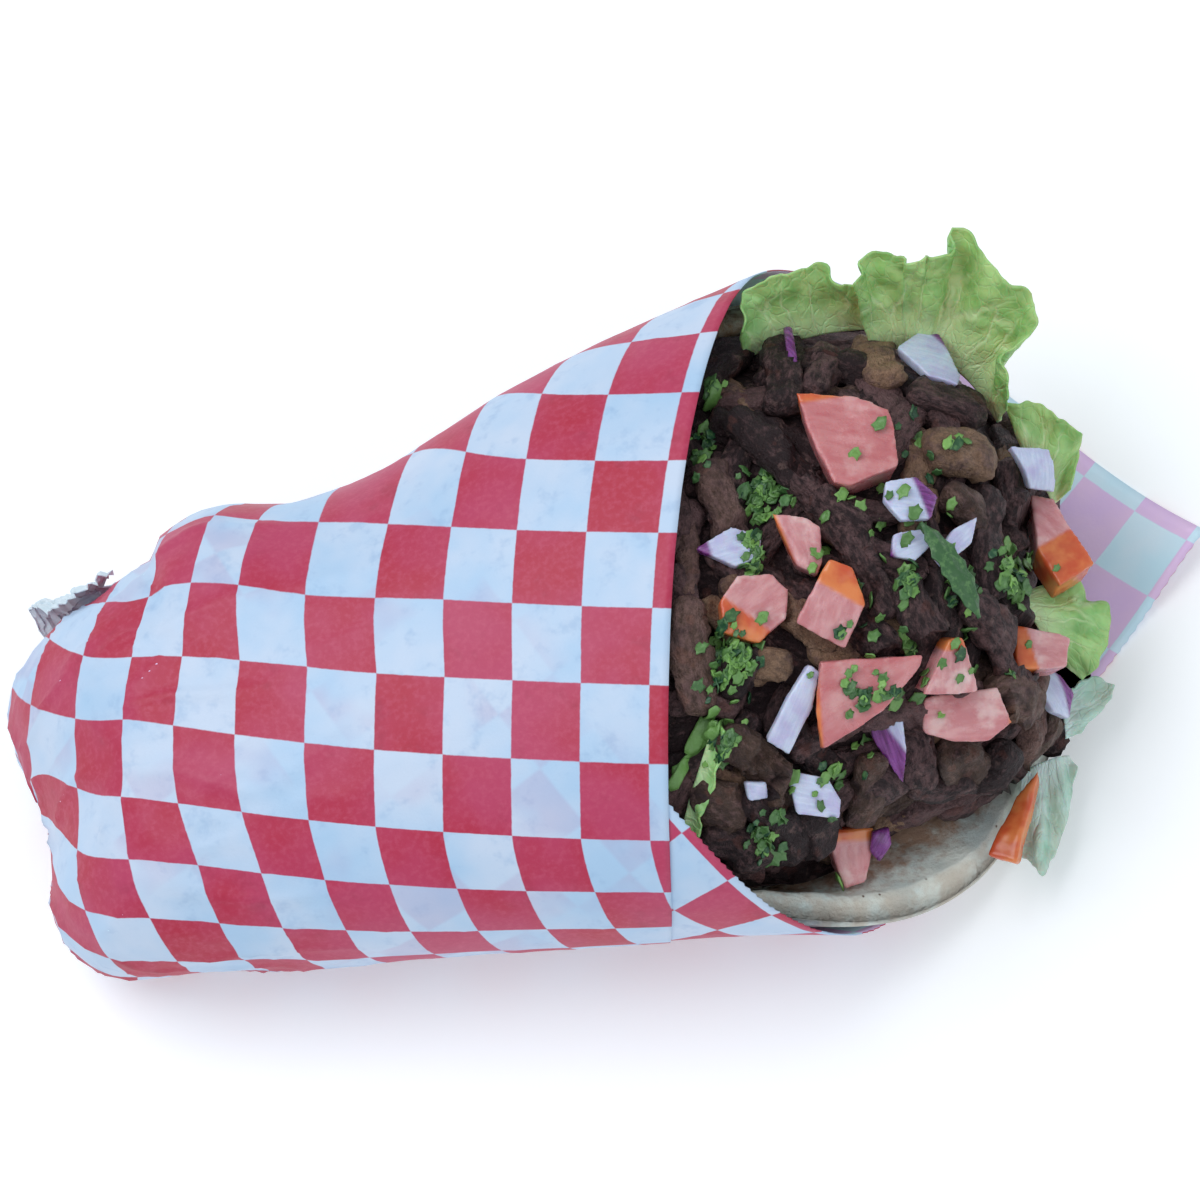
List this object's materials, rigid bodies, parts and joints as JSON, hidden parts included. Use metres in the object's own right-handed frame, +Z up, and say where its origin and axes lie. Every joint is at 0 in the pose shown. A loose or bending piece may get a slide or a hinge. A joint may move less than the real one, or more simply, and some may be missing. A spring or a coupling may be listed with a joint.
{
  "type": "beef gyro wrap",
  "caption": "Flatbread rolled round beef strips, diced tomato, red onion and lettuce, in a cone of checked deli paper with its tail folded shut.",
  "frame": {"origin": "on the flat of the paper's underside, below the middle of the wrap", "axes": "+X along the wrap from the folded tail to the open mouth, +Y towards the side with the large lettuce leaf, +Z up with the wrap lying filling side up"},
  "size_m": [0.2309, 0.1271, 0.0709],
  "materials": {
    "paper": "thin waxed paper with a red and pale blue-white check",
    "bread": "soft baked flatbread with toasted spots",
    "beef": "seared moist beef strips",
    "tomato": "wet cut tomato with an orange-red skin",
    "onion": "wet cut red onion, white with a purple skin",
    "lettuce": "crisp leaf with pale veins",
    "herb": "fresh dark green herb",
    "foil": "crumpled foil"
  },
  "bodies": {
    "root": {"beef_heap": "beef", "checked_paper": "paper", "flatbread": "bread", "foil_end": "foil", "herb_leaf": "herb", "herb_sprig": "herb", "lettuce_back": "lettuce", "lettuce_big": "lettuce", "lettuce_fan": "lettuce", "lettuce_pale": "lettuce", "lettuce_rib": "lettuce", "lettuce_right": "lettuce", "lettuce_shred": "lettuce", "onion_1": "onion", "onion_10": "onion", "onion_11": "onion", "onion_12": "onion", "onion_13": "onion", "onion_2": "onion", "onion_3": "onion", "onion_4": "onion", "onion_5": "onion", "onion_6": "onion", "onion_7": "onion", "onion_8": "onion", "onion_9": "onion", "tomato_1": "tomato", "tomato_10": "tomato", "tomato_2": "tomato", "tomato_3": "tomato", "tomato_4": "tomato", "tomato_5": "tomato", "tomato_6": "tomato", "tomato_7": "tomato", "tomato_8": "tomato", "tomato_9": "tomato", "tomato_strip": "tomato"}
  },
  "joints": []
}
